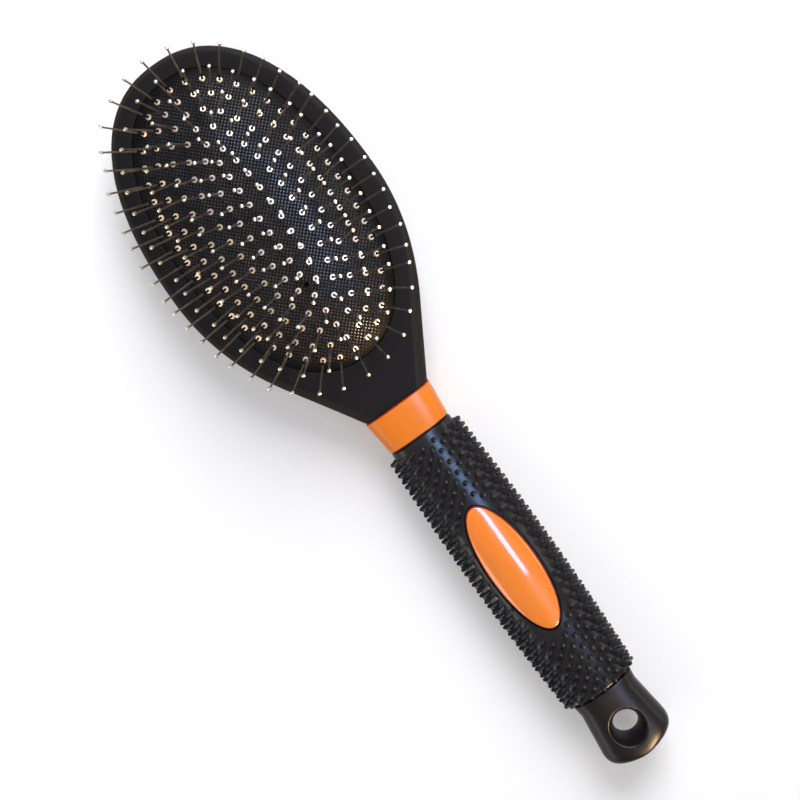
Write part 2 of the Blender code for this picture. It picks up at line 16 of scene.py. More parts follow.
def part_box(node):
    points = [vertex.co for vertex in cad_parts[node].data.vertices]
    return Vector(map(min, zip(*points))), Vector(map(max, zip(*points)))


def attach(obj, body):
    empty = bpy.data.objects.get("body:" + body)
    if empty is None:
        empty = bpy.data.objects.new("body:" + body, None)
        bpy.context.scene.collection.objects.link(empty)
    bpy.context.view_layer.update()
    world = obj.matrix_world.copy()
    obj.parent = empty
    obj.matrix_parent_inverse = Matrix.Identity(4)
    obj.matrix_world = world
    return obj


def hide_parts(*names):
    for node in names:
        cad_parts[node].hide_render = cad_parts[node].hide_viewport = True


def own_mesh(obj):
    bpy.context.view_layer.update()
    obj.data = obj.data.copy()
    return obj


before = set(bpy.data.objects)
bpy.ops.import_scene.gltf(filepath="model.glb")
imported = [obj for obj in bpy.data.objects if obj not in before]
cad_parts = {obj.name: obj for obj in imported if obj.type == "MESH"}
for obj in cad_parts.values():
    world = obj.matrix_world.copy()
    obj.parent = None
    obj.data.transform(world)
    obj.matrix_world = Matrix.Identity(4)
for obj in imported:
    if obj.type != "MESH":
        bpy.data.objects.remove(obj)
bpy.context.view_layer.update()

# %% [markdown]
# ## Sizes
# The brush lies on its back along X, with its pins up. Its places and long sizes are read from
# the frame. The others are the maker's own, in millimetres, such as how the head swells and how
# high the cushion is crowned, and each stands in the cell that first needs it. `MM` turns them
# into Blender's metres.

# %% Places read from the frame
MM = 0.001
GAP = 0.3 * MM
collar_low, collar_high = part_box("neck_collar")
rim_low, rim_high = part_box("cushion_rim")
_, head_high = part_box("brush_body")
NECK_X = collar_high.x + GAP
AXIS_Z = (collar_low.z + collar_high.z) / 2
FACE_Z = head_high.z
RIM_Z = FACE_Z - GAP
PAD_X = (rim_low.x + rim_high.x) / 2
print(f"neck at x = {NECK_X / MM:.1f} mm, cushion at x = {PAD_X / MM:.1f} mm")
print(f"face {FACE_Z / MM:.1f} mm up, handle's axis {AXIS_Z / MM:.1f} mm up")

# %% [markdown]
# ## Small helpers
# Most of the brush is lofted: a ring of points is drawn along and changes its shape on the way.
# In bmesh that is `create_circle` for the first ring and `extrude_edge_only` for each next one.
# Every vertex carries its number round the ring, which an extrusion copies, so a new ring is
# placed by looking up each number in a list of points.

# %% Rings and lofts
WELD = MM / 1000


def first_ring(bm, points):
    """A closed ring of numbered vertices, set on these points. Returns its edges."""
    number = bm.verts.layers.int.new("number")
    ring = bmesh.ops.create_circle(bm, segments=len(points), radius=MM)["verts"]
    for i, vert in enumerate(ring):
        vert[number] = i
        vert.co = points[i]
    return list(bm.edges)


def draw_out(bm, edges, points):
    """Extrudes a ring and sets the new one on these points. Returns the new ring's edges."""
    number = bm.verts.layers.int["number"]
    made = bmesh.ops.extrude_edge_only(bm, edges=edges)["geom"]
    for vert in made:
        if isinstance(vert, bmesh.types.BMVert):
            vert.co = points[vert[number]]
    return [edge for edge in made if isinstance(edge, bmesh.types.BMEdge) and edge.is_boundary]


def loft(rings):
    """A bmesh through rings of as many points. Points that meet are merged, which closes its ends."""
    bm = bmesh.new()
    edges = first_ring(bm, rings[0])
    for points in rings[1:]:
        edges = draw_out(bm, edges, points)
    bmesh.ops.remove_doubles(bm, verts=bm.verts, dist=WELD)
    return bm


def closed_tube(rings):
    """A loft whose last ring is bridged to its first, such as a sleeve with its bore."""
    bm = loft(rings)
    open_edges = [edge for edge in bm.edges if edge.is_boundary]
    bmesh.ops.bridge_loops(bm, edges=open_edges)
    return bm


print("helpers ready: first_ring, draw_out, loft, closed_tube")

# %% [markdown]
# The rings come from a few curves that every piece uses. One is an oval whose power says how
# square it is: 2 is an ellipse, and 3 has a flat front with rounded sides. Another is the quarter
# circle of a rounded edge, because a moulded edge is never knife sharp. A fine run of points is
# walked in even steps, so that faces keep one length where a curve bends.

# %% Curves of the rings
def round_angles(count):
    """The angles of so many even steps round a full turn."""
    return np.linspace(0, 2 * math.pi, count, endpoint=False)


def squared_oval(angle, power):
    """The shares of its two half widths that an oval of this power reaches at an angle."""
    return [np.sign(wave) * np.abs(wave) ** (2 / power) for wave in (np.cos(angle), np.sin(angle))]


def rounding(radius, steps, turn=math.pi / 2):
    """How far inside its two faces a rounded edge lies, from one face round to the other."""
    angles = np.linspace(0, turn, steps)
    return [(radius * (1 - math.cos(angle)), radius * (1 - math.sin(angle))) for angle in angles]


def travelled(points):
    """How far along a run of points each of them lies."""
    steps = np.linalg.norm(np.diff(points, axis=0), axis=1)
    return np.concatenate([[0], np.cumsum(steps)])


def walk(points, shares):
    """Flat points at these shares of the way along a run of fine points."""
    way = travelled(points)
    wanted = np.asarray(shares) * way[-1]
    return np.column_stack([np.interp(wanted, way, points[:, k]) for k in (0, 1)])


def raised(points, z):
    """Flat points lifted to a height, or to a height each."""
    return np.column_stack([points, np.broadcast_to(z, len(points))])


print("helpers ready: round_angles, squared_oval, rounding, travelled, walk, raised")

# %% [markdown]
# A bmesh becomes a piece in one place. Its normals are recalculated once its doubles are merged,
# its edges over 35 degrees stay crisp, it takes its finishes, and the frame is told two things:
# the body it rides on and the nodes it stands for.

# %% Turn a bmesh into a piece
SHARP_ANGLE = math.radians(35)


def as_mesh(bm, name):
    """Leaves the bmesh behind as a mesh of this name."""
    mesh = bpy.data.meshes.new(name)
    bm.to_mesh(mesh)
    bm.free()
    return mesh


def shade(mesh):
    """Smooth shading that keeps sharp edges."""
    mesh.shade_smooth()
    mesh.set_sharp_from_angle(angle=SHARP_ANGLE)


def mesh_object(name, bm, materials=()):
    """A linked object with outward faces and smooth shading."""
    bmesh.ops.recalc_face_normals(bm, faces=bm.faces)
    mesh = as_mesh(bm, name)
    shade(mesh)
    for mat in materials:
        mesh.materials.append(mat)
    obj = bpy.data.objects.new(name, mesh)
    bpy.context.scene.collection.objects.link(obj)
    return obj


def box_of(obj):
    """The lowest and the highest corner of a piece, in millimetres."""
    corners = np.array([vert.co for vert in obj.data.vertices]) / MM
    return corners.min(axis=0), corners.max(axis=0)


def settle(obj, nodes, body="brush"):
    """Rides the finished piece on its body and lets it stand for its nodes."""
    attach(obj, body)
    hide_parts(*nodes)
    low, high = box_of(obj)
    print(f"{obj.name}: {len(obj.data.polygons)} faces, from {low.round(1)} to {high.round(1)} mm")
    return obj


print("helpers ready: as_mesh, shade, mesh_object, box_of, settle")

# %% [markdown]
# Holes and seats are cut with a Boolean. A modifier does that, and its result then takes the
# place of the mesh, so that a finished piece carries no live modifier.

# %% Cut one piece with another
def apply_modifiers(obj):
    """Leaves the evaluated mesh in place of the modifiers."""
    graph = bpy.context.evaluated_depsgraph_get()
    mesh = bpy.data.meshes.new_from_object(obj.evaluated_get(graph))
    obj.modifiers.clear()
    obj.data = mesh
    shade(mesh)
    return obj


def cut(obj, cutter):
    """Takes the cutter's shape out of the piece and removes the cutter."""
    modifier = obj.modifiers.new("cut", "BOOLEAN")
    modifier.operation = "DIFFERENCE"
    modifier.solver = "EXACT"
    modifier.object = cutter
    apply_modifiers(obj)
    bpy.data.objects.remove(cutter, do_unlink=True)
    return obj


print("helpers ready: apply_modifiers, cut")

# %% [markdown]
# Pins, studs and the drill for the hanging hole are round, so each starts as a profile of radii
# and heights that is spun about Z, as on a lathe. Pins and studs are then planted by the hundred.

# %% Spun profiles, and copies of them
def spun(profile, sides):
    """A bmesh from radii and heights in millimetres, spun round Z and closed."""
    bm = bmesh.new()
    verts = [bm.verts.new((r * MM, 0, z * MM)) for r, z in profile]
    edges = [bm.edges.new(pair) for pair in zip(verts, verts[1:])]
    bmesh.ops.spin(bm, geom=verts + edges, cent=(0, 0, 0), axis=(0, 0, 1), dvec=(0, 0, 0),
                   angle=2 * math.pi, steps=sides, use_merge=True, use_duplicate=False)
    bmesh.ops.remove_doubles(bm, verts=bm.verts, dist=WELD)
    bmesh.ops.holes_fill(bm, edges=[edge for edge in bm.edges if edge.is_boundary])
    bmesh.ops.recalc_face_normals(bm, faces=bm.faces)
    return bm


def plant(bm, mesh, places):
    """Copies a small mesh to each place, turned so that its Z points along the place's axis."""
    for place, axis in places:
        turn = axis.to_track_quat("Z", "X").to_matrix().to_4x4()
        before = len(bm.verts)
        bm.from_mesh(mesh)
        bm.verts.ensure_lookup_table()
        bmesh.ops.transform(bm, matrix=Matrix.Translation(place) @ turn, verts=bm.verts[before:])


print("helpers ready: spun, plant")

# %% [markdown]
# ## Materials
# Colours are written as sRGB hex codes, the way a paint or a web page names them, and one
# function turns them into the linear numbers that a shader takes. One more function adds a node:
# an input that is given another node's socket is linked, and any other input is set.

# %% Colours and nodes
def srgb(code):
    """A hex colour in linear numbers, with full alpha."""
    shares = [int(code[i : i + 2], 16) / 255 for i in (1, 3, 5)]
    return (*[c / 12.92 if c <= 0.04045 else ((c + 0.055) / 1.055) ** 2.4 for c in shares], 1.0)


def plug(node, inputs):
    """Sets inputs of a node by name or number; a socket is linked."""
    for name, value in inputs.items():
        if isinstance(value, bpy.types.NodeSocket):
            node.id_data.links.new(value, node.inputs[name])
        else:
            node.inputs[name].default_value = value
    return node


def add(mat, kind, inputs=None, **settings):
    """Adds a shader node of this kind, with its settings and its inputs."""
    node = mat.node_tree.nodes.new("ShaderNode" + kind)
    for name, value in settings.items():
        setattr(node, name, value)
    return plug(node, inputs or {})


def principled(name, **inputs):
    """A new material and its Principled shader, with uniform values on the shader's own sockets."""
    mat = bpy.data.materials.new(name)
    mat.use_nodes = True
    shader = mat.node_tree.nodes["Principled BSDF"]
    return mat, plug(shader, {key.replace("_", " "): value for key, value in inputs.items()})


print("sRGB #808080 is", round(srgb("#808080")[0], 3), "in linear numbers")

# %% [markdown]
# Hardly any real surface is even. Most finishes of the brush share two small faults, which these
# functions give: tint and gloss that drift together in soft patches, and a shallow grain.

# %% Drift and grain
GRAIN_DEPTH = 0.02 * MM


def drifting(mat, place, patch, tones, roughness, detail=2.0):
    """Shader inputs whose tone and roughness drift together, over patches of this size."""
    drift = add(mat, "TexNoise", {"Vector": place, "Scale": 1 / patch, "Detail": detail}).outputs["Fac"]
    tone = add(mat, "Mix", {0: drift, 6: srgb(tones[0]), 7: srgb(tones[1])}, data_type="RGBA")
    gloss = add(mat, "MapRange", {"Value": drift, "To Min": roughness[0], "To Max": roughness[1]})
    return {"Base Color": tone.outputs[2], "Roughness": gloss.outputs[0]}


def grained(mat, place, grain, strength):
    """A shader input for a shallow bump, with grains of this size."""
    noise = add(mat, "TexNoise", {"Vector": place, "Scale": 1 / grain, "Detail": 1.0})
    bump = add(mat, "Bump", {"Height": noise.outputs["Fac"], "Strength": strength,
                             "Distance": GRAIN_DEPTH})
    return {"Normal": bump.outputs["Normal"]}


print("helpers ready: drifting, grained")

# %% [markdown]
# The head is ABS with a soft-touch lacquer, the rubbery black coat of many brushes and phones.
# It was sprayed on, so it has no moulding shine: light spreads wide on it, and a fine grain of
# about 0.2 mm breaks up what gloss is left. The rounded flanks, where the normal leaves the
# vertical, are painted a paler grey than the flat face between them: painted light, standing in
# for the light the flanks catch.

# %% Soft-touch lacquer
LACQUER_PATCH = 18 * MM
LACQUER_GRAIN = 0.2 * MM


def soft_touch_lacquer():
    """A dull sprayed coat, with painted light that makes it paler where the surface leans away from the
    flat face.
    """
    mat, shader = principled("soft_touch_lacquer", Roughness=0.62, Specular_IOR_Level=0.05)
    place = add(mat, "TexCoord").outputs["Object"]
    drift = add(mat, "TexNoise", {"Vector": place, "Scale": 1 / LACQUER_PATCH, "Detail": 3.0})
    new = add(mat, "Mix", {0: drift.outputs["Fac"], 6: srgb("#171514"), 7: srgb("#1E1B1A")},
              data_type="RGBA")
    normal = add(mat, "TexCoord").outputs["Normal"]
    upright = add(mat, "SeparateXYZ", {"Vector": normal}).outputs["Z"]
    # Painted light: where the normal leaves the vertical, the tone is painted paler.
    painted_flank_light = add(mat, "MapRange", {"Value": upright, "From Min": 0.998, "From Max": 0.90})
    tone = add(mat, "Mix", {0: painted_flank_light.outputs[0], 6: new.outputs[2], 7: srgb("#2A2725")},
               data_type="RGBA")
    plug(shader, {"Base Color": tone.outputs[2], **grained(mat, place, LACQUER_GRAIN, strength=0.25)})
    return mat


LACQUER = soft_touch_lacquer()
print("made", LACQUER.name)

# %% [markdown]
# The cushion is natural rubber pressed against a cloth-like mould, which leaves a net of fine
# raised knots 0.93 mm apart, turned 45 degrees to the handle. Knots are polished by use and
# catch the light one by one; the grooves between them stay dull. The knots are also painted a
# lighter tone than the grooves: a painted highlight on the knots and painted shade in the grooves,
# stronger in patches of wear. A Voronoi texture with no randomness is such a net: its distance is
# 0 on each knot and grows towards the grooves. The net has a hem just above the cushion's edge,
# where the knots rise from nothing to full height.

# %% Netted rubber
KNOT_PITCH = 0.93 * MM
NET_TURN = math.radians(45)
KNOT_HEIGHT = 0.15 * MM
WEAR_PATCH = 6 * MM
HEM_LOW = RIM_Z + 0.7 * MM
HEM_HIGH = RIM_Z + 2.7 * MM


def netted_rubber():
    """Black rubber with a net of polished knots, painted lighter than its grooves as painted highlight
    and shade.
    """
    mat, shader = principled("netted_rubber")
    place = add(mat, "TexCoord").outputs["Object"]
    turned = add(mat, "Mapping", {"Vector": place, "Rotation": (0, 0, NET_TURN)}).outputs[0]
    net = add(mat, "TexVoronoi", {"Vector": turned, "Scale": 1 / KNOT_PITCH, "Randomness": 0.0},
              voronoi_dimensions="2D")
    knot = add(mat, "MapRange", {"Value": net.outputs["Distance"], "From Min": 0.15, "From Max": 0.5,
                                 "To Min": 1.0, "To Max": 0.0}, interpolation_type="SMOOTHSTEP")
    height = add(mat, "SeparateXYZ", {"Vector": place}).outputs["Z"]
    hem = add(mat, "MapRange", {"Value": height, "From Min": HEM_LOW, "From Max": HEM_HIGH})
    knot = add(mat, "Math", {0: knot.outputs[0], 1: hem.outputs[0]}, operation="MULTIPLY")
    fleck = add(mat, "TexNoise", {"Vector": turned, "Scale": 1 / WEAR_PATCH, "Detail": 2.0})
    knot_wear_and_painted_light = add(mat, "Math", {0: knot.outputs[0], 1: fleck.outputs["Fac"]}, operation="MULTIPLY")
    # Painted highlight and shade: the knots are painted lighter than the grooves.
    tone = add(mat, "Mix", {0: knot_wear_and_painted_light.outputs[0], 6: srgb("#131111"), 7: srgb("#1D1A19")},
               data_type="RGBA")
    gloss = add(mat, "MapRange", {"Value": knot.outputs[0], "To Min": 0.5, "To Max": 0.24})
    shine = add(mat, "MapRange", {"Value": knot_wear_and_painted_light.outputs[0], "To Min": 0.04, "To Max": 0.6})
    bump = add(mat, "Bump", {"Height": knot.outputs[0], "Strength": 1.0, "Distance": KNOT_HEIGHT})
    plug(shader, {"Base Color": tone.outputs[2], "Roughness": gloss.outputs[0],
                  "Specular IOR Level": shine.outputs[0], "Normal": bump.outputs["Normal"]})
    return mat


NET_RUBBER = netted_rubber()
print("made", NET_RUBBER.name, "with", round(1 / KNOT_PITCH), "knots a metre")

# %% [markdown]
# The pins are drawn steel wire, and its shaft keeps the brown-grey skin of the drawing die and of
# hardening, so it reads as a dark line. Its root is painted near black: painted shade, standing
# in for the shade and the dark reflection at the base of the pin.
# The ball is bright nickel plate and mirrors the lamps as a point. The foot's plate was tumbled
# dull in a drum, so it scatters light all round its ring. A metal's colour is its reflection, so
# all four keep the default IOR.

# %% Plated and drawn steel
def pin_metal(name, tones, patch, roughness):
    """A metal whose tone and gloss drift over patches of this size."""
    mat, shader = principled(name, Metallic=1.0)
    place = add(mat, "TexCoord").outputs["Object"]
    plug(shader, drifting(mat, place, patch, tones, roughness))
    return mat


NICKEL = pin_metal("nickel_ball_plate", ("#E6D8BC", "#F6EBD6"), 9 * MM, (0.24, 0.34))
WIRE = pin_metal("drawn_steel_wire", ("#7F776E", "#A49C91"), 3 * MM, (0.28, 0.38))
# Painted shade: the wire's root is near black.
SHADED_ROOT = pin_metal("painted_shade_wire_root", ("#1B1816", "#2B2724"), 3 * MM, (0.45, 0.60))
FOOT = pin_metal("tumbled_nickel_foot", ("#E6D3B6", "#F3E4CB"), 5 * MM, (0.42, 0.56))
print("made", NICKEL.name, WIRE.name, SHADED_ROOT.name, FOOT.name)

# %% [markdown]
# Collar and badge are orange ABS from a polished mould: a clean, strong colour under a clear
# reflection. What betrays plastic is the faint waviness of its shrunk skin, so the bump is long
# and very shallow, and the gloss is not quite even. The badge has a clear coat of resin on top.
# The edges are painted a deep red-orange, painted shade for the dark seams where the parts meet, so
# these have a material of their own.
# The end cap is the same plastic in brown-black.

# %% Polished ABS
ABS_PATCH = 12 * MM
SHRINK_WAVE = 2.5 * MM


def polished_abs(name, tones, roughness, coat=0.0):
    """Moulded plastic with a faintly wavy skin, under a clear coat of this weight."""
    mat, shader = principled(name, Specular_IOR_Level=0.2, Coat_Weight=coat, Coat_Roughness=0.07)
    place = add(mat, "TexCoord").outputs["Object"]
    plug(shader, drifting(mat, place, ABS_PATCH, tones, roughness))
    plug(shader, grained(mat, place, SHRINK_WAVE, strength=0.15))
    return mat


COLLAR_ORANGE = polished_abs("collar_orange_abs", ("#E87914", "#F0831B"), (0.32, 0.38))
BADGE_ORANGE = polished_abs("badge_orange_abs", ("#F37F1A", "#F98722"), (0.32, 0.40), coat=0.85)
# Painted shade: the deep orange that marks the seams on collar and badge.
SHADED_EDGE_ORANGE = polished_abs("painted_shade_orange_edge", ("#8C2C0A", "#A23A10"), (0.36, 0.42))
CAP_BROWN = polished_abs("cap_brown_abs", ("#151112", "#1C1617"), (0.30, 0.38))
print("made", COLLAR_ORANGE.name, BADGE_ORANGE.name, SHADED_EDGE_ORANGE.name, CAP_BROWN.name)

# %% [markdown]
# The grip is thermoplastic rubber, moulded round the handle. The smooth skin between the studs
# keeps a satin gloss, which shows as a cool streak along the top. The studs come from drilled
# pits in the mould, which nobody polishes, so the same rubber is duller on them.

# %% Satin grip rubber
GRIP_TONES = ("#212022", "#2D2B2C")
GRIP_PATCH = 5 * MM
GRIP_GRAIN = 0.15 * MM


def grip_rubber(name, roughness, gloss_level):
    """Black rubber with a fine grain, as glossy as its mould was polished."""
    mat, shader = principled(name, Specular_IOR_Level=gloss_level)
    place = add(mat, "TexCoord").outputs["Object"]
    plug(shader, drifting(mat, place, GRIP_PATCH, GRIP_TONES, roughness, detail=3.0))
    plug(shader, grained(mat, place, GRIP_GRAIN, strength=0.3))
    return mat


GRIP_SKIN = grip_rubber("satin_grip_skin", (0.20, 0.28), 0.16)
GRIP_STUD = grip_rubber("dull_grip_studs", (0.36, 0.46), 0.15)
print("made", GRIP_SKIN.name, GRIP_STUD.name)

# %% [markdown]
# ## The head
# The paddle is one moulding with a bowl-shaped back and a flat face. It could be sculpted or
# subdivided from a box, but its outline was measured, so it is lofted in levels from the back to
# the face: each level is the same outline, drawn inwards by the section's own curve. The outline
# leaves the neck as a straight taper, swells to the widest place, and ends in a squared oval.

# %% The head's outline
HEAD_LENGTH = head_high.x - NECK_X
HEAD_HALF_WIDTH = 34.8 * MM
NECK_HALF_WIDTH = 11 * MM
NECK_TO_WIDEST = 60.1 * MM
TAPER_LENGTH = 20 * MM
TAPER_SLOPE = 0.60
TIP_OVAL_POWER = 2.27
TIP_TRIM = 0.95 * MM
FINE_COUNT = 900
SIDE_COUNT = 90


def head_outline():
    """The head's edge about the neck, on its +Y side from tip to neck, and its inward directions."""
    near_x = np.linspace(0, NECK_TO_WIDEST, FINE_COUNT)[:-1]
    swell_length = NECK_TO_WIDEST - TAPER_LENGTH
    swell = HEAD_HALF_WIDTH - NECK_HALF_WIDTH - TAPER_SLOPE * TAPER_LENGTH
    power = TAPER_SLOPE * swell_length / swell  # the swell starts at the taper's own slope
    to_go = (NECK_TO_WIDEST - near_x).clip(max=swell_length) / swell_length
    swell_y = HEAD_HALF_WIDTH - swell * to_go**power
    near_y = np.where(near_x < TAPER_LENGTH, NECK_HALF_WIDTH + TAPER_SLOPE * near_x, swell_y)
    along, across = squared_oval(np.linspace(math.pi / 2, 0, FINE_COUNT), TIP_OVAL_POWER)
    far_x = NECK_TO_WIDEST + (HEAD_LENGTH - NECK_TO_WIDEST - TIP_TRIM) * along
    far_y = HEAD_HALF_WIDTH * across
    fine = np.column_stack([np.append(near_x, far_x), np.append(near_y, far_y)])[::-1]
    side = walk(fine, np.linspace(0, 1, SIDE_COUNT))
    heading = np.gradient(side, axis=0)
    heading[0] = (0, 1)  # at the very tip the edge runs straight across
    inward = np.column_stack([-heading[:, 1], heading[:, 0]])
    return side, inward / np.hypot(*inward.T)[:, None]


HEAD_SIDE, HEAD_INWARD = head_outline()
print("outline from", (HEAD_SIDE[0] / MM).round(1), "to", (HEAD_SIDE[-1] / MM).round(1), "mm")

# %% [markdown]
# A level needs two numbers at the head, how far in and how high, and two at the neck. A smooth
# share blends them along the first 38 mm. The neck's flat end closes each ring with a straight
# row of points.

# %% A level of the head
NECK_BLEND_LENGTH = 38 * MM
NECK_COUNT = 11


def smoothstep(share):
    """A share of 0 to 1 that starts and ends gently."""
    share = np.clip(share, 0, 1)
    return share * share * (3 - 2 * share)


def head_ring(head_inset, head_z, neck_inset, neck_z):
    """One level's ring: the +Y side from the tip to the neck, the neck's end, the -Y side."""
    blend = smoothstep(HEAD_SIDE[:, 0] / NECK_BLEND_LENGTH)
    straight = np.array([0, -1])
    turn = straight * (1 - blend)[:, None] + HEAD_INWARD * blend[:, None]
    turn /= np.hypot(*turn.T)[:, None]
    inset = head_inset * blend + neck_inset * (1 - blend)
    side = HEAD_SIDE + turn * inset[:, None] + (NECK_X, 0)
    side = np.column_stack([side, head_z * blend + neck_z * (1 - blend)])
    end_y = np.linspace(side[-1, 1], -side[-1, 1], NECK_COUNT + 2)[1:-1]
    end = np.column_stack([np.full(NECK_COUNT, NECK_X), end_y, np.full(NECK_COUNT, neck_z)])
    return np.vstack([side, end, side[:0:-1] * (1, -1, 1)])


print("a level has", len(head_ring(0, 0, 0, 0)), "points")

# %% [markdown]
# The section of the head starts as a bowl under the brush and ends in the rounded edge of the
# face. The neck's section is a squared oval about the handle's axis, cut off by the flat face, so
# sloped flanks are left beside the face there.

# %% All the levels of the head
BACK_BOWL_HEIGHT = 11.2 * MM
BACK_BOWL_INSET = 14 * MM
FACE_ROUND = 2.2 * MM
NECK_HALF_DEPTH = 8.8 * MM
NECK_POWER = 2.9
NECK_LOWEST_ANGLE = math.radians(72)
NECK_SEAM_ANGLE = math.radians(8)
BOWL_STEPS = 14
FACE_STEPS = 7


def neck_point(angle):
    """How far in, and how far from the handle's axis, the neck's oval lies at this angle."""
    across, up = squared_oval(angle, NECK_POWER)
    return NECK_HALF_WIDTH * (1 - across), NECK_HALF_DEPTH * up


def head_levels():
    """Rings from the back to the face: a bowl, an upright wall, and a rounded edge."""
    rings = []
    for share in np.linspace(1, 0, BOWL_STEPS + 1):
        angle = share * math.pi / 2
        inset, fall = neck_point(NECK_SEAM_ANGLE + share * (NECK_LOWEST_ANGLE - NECK_SEAM_ANGLE))
        rings.append(head_ring(BACK_BOWL_INSET * (1 - math.cos(angle)),
                               BACK_BOWL_HEIGHT * (1 - math.sin(angle)), inset, AXIS_Z - fall))
    top_angle = math.asin(((FACE_Z - AXIS_Z) / NECK_HALF_DEPTH) ** (NECK_POWER / 2))
    for share in np.linspace(0, 1, FACE_STEPS + 1):
        angle = share * math.pi / 2
        inset, rise = neck_point(NECK_SEAM_ANGLE + share * (top_angle - NECK_SEAM_ANGLE))
        rings.append(head_ring(FACE_ROUND * (1 - math.cos(angle)),
                               FACE_Z - FACE_ROUND * (1 - math.sin(angle)), inset, AXIS_Z + rise))
    return rings


HEAD_LEVELS = head_levels()
print(len(HEAD_LEVELS), "levels")

# %% [markdown]
# The cushion's seat is an oval pocket with a softened lip. All ovals round the cushion keep one
# distance from each other, so one function draws them: a straight ridge along the middle and a
# width about it. The last level of the head runs on as a narrow flat strip, then reaches the lip,
# and goes down the pocket's wall to its floor. The back is closed by its lowest level, drawn
# together on the middle line.

# %% Ovals, and the head as one piece
PAD_HALF_WIDTH = 28.1 * MM
BEAD_REACH = 1.0 * MM
PAD_RIDGE_HALF = (rim_high.x - rim_low.x) / 2 - BEAD_REACH - PAD_HALF_WIDTH
PAD_OVAL_POWER = 2.2
BACK_WIDTH_SHARES = (0, 0.35, 0.7)
FACE_STRIP = 0.35 * MM
LIP_ROUND = 0.3 * MM
LIP_STEPS = 5
POCKET_DEPTH = 12.5 * MM


def pad_oval(half_width, shares):
    """Points of the oval of this half width, at these shares of the way round from the tip."""
    along, across = squared_oval(round_angles(FINE_COUNT), PAD_OVAL_POWER)
    fine = np.column_stack([(PAD_RIDGE_HALF + half_width) * along + PAD_X, half_width * across])
    return walk(np.vstack([fine, fine[:1]]), shares)


def paddle_head():
    """The head from the middle of its back, over its edge, to the middle of the pocket's floor."""
    rings = [HEAD_LEVELS[0] * (1, share, 1) for share in BACK_WIDTH_SHARES] + HEAD_LEVELS
    edge = rings[-1]
    away = edge - edge.mean(axis=0)
    rings.append(edge - away * (FACE_STRIP / HEAD_HALF_WIDTH))
    way = travelled(np.vstack([edge, edge[:1]]))
    shares = way[:-1] / way[-1]
    for drop, reach in rounding(LIP_ROUND, LIP_STEPS):
        rings.append(raised(pad_oval(PAD_HALF_WIDTH + reach, shares), FACE_Z - drop))
    for half_width in (PAD_HALF_WIDTH, PAD_HALF_WIDTH / 2, 0):
        rings.append(raised(pad_oval(half_width, shares), FACE_Z - POCKET_DEPTH))
    return mesh_object("paddle_head", loft(rings), [LACQUER])


settle(paddle_head(), ["brush_body"])

# %% [markdown]
# ## The cushion
# The rubber cushion is a thin skin, crowned by the air behind it, and a rubber bead holds it in
# the pocket. It could be inflated with Cloth, but its crown is a plain arc that the pins' splay
# gives, so it is lofted: from the ridge under the skin, out to the bead, up its edge, and in over
# the dome to the ridge again.

# %% The dome of the cushion
PAD_CROWN = 8.6 * MM
DOME_RADIUS = (PAD_HALF_WIDTH**2 + PAD_CROWN**2) / (2 * PAD_CROWN)
SKIN_THICKNESS = 1.5 * MM
EDGE_HALF_WIDTH = 27.9 * MM
EDGE_ROLL = 0.5 * MM
EDGE_FOOT_Z = FACE_Z - 3 * MM
UNDER_STEPS = 12
ROLL_STEPS = 6
CROWN_STEPS = 30


def dome_z(half_width):
    """The height of the cushion's top on the oval of this half width."""
    foot = math.sqrt(DOME_RADIUS**2 - PAD_HALF_WIDTH**2)
    return RIM_Z + math.sqrt(DOME_RADIUS**2 - half_width**2) - foot


def cushion_profile():
    """Half width and height, from under the ridge round the edge to the top of the ridge."""
    roll_start = EDGE_HALF_WIDTH - EDGE_ROLL
    under = [(w, dome_z(w) - SKIN_THICKNESS)
             for w in np.linspace(0, roll_start - SKIN_THICKNESS, UNDER_STEPS)]
    foot = [(roll_start - SKIN_THICKNESS / 2, EDGE_FOOT_Z), (EDGE_HALF_WIDTH, EDGE_FOOT_Z)]
    roll_turn = math.pi / 2 - math.asin(roll_start / DOME_RADIUS)
    roll = [(EDGE_HALF_WIDTH - inset, dome_z(roll_start) - drop)
            for inset, drop in rounding(EDGE_ROLL, ROLL_STEPS, roll_turn)]
    crown = [(w, dome_z(w)) for w in roll_start * np.linspace(1, 0, CROWN_STEPS)[1:]]
    return under + foot + roll + crown


CUSHION_PROFILE = cushion_profile()
print(f"cushion edge {EDGE_FOOT_Z / MM:.1f} mm up, crown {CUSHION_PROFILE[-1][1] / MM:.1f} mm up")
print(f"its dome has a radius of {DOME_RADIUS / MM:.1f} mm")

# %% [markdown]
# The air leaves through a vent of 1.4 mm on the centre line, near the last pin of the row. A thin
# cylinder cuts it out.

# %% The cushion as one piece
PAD_COUNT = 168
VENT_RADIUS = 0.7 * MM
VENT_X = PAD_X - 22.2 * MM
VENT_SIDES = 20


def rubber_cushion():
    """The closed skin of the cushion with its vent."""
    shares = np.arange(PAD_COUNT) / PAD_COUNT
    rings = [raised(pad_oval(half_width, shares), z) for half_width, z in CUSHION_PROFILE]
    obj = mesh_object("rubber_cushion", loft(rings), [NET_RUBBER])
    bm = bmesh.new()
    bmesh.ops.create_cone(bm, segments=VENT_SIDES, radius1=VENT_RADIUS, radius2=VENT_RADIUS,
                          depth=PAD_CROWN, cap_ends=True,
                          matrix=Matrix.Translation((VENT_X, 0, RIM_Z + PAD_CROWN)))
    return cut(obj, mesh_object("vent_drill", bm))


cushion = settle(rubber_cushion(), ["cushion_rim"])
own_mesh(cushion)

# %% [markdown]
# ## The pins
# A pin is a wire with a ball on its tip, set in a ring-shaped nickel foot that grips the rubber.
# It is round all the way, so it is spun from a profile. With 179 of them on the cushion, one pin
# has only a few dozen faces.

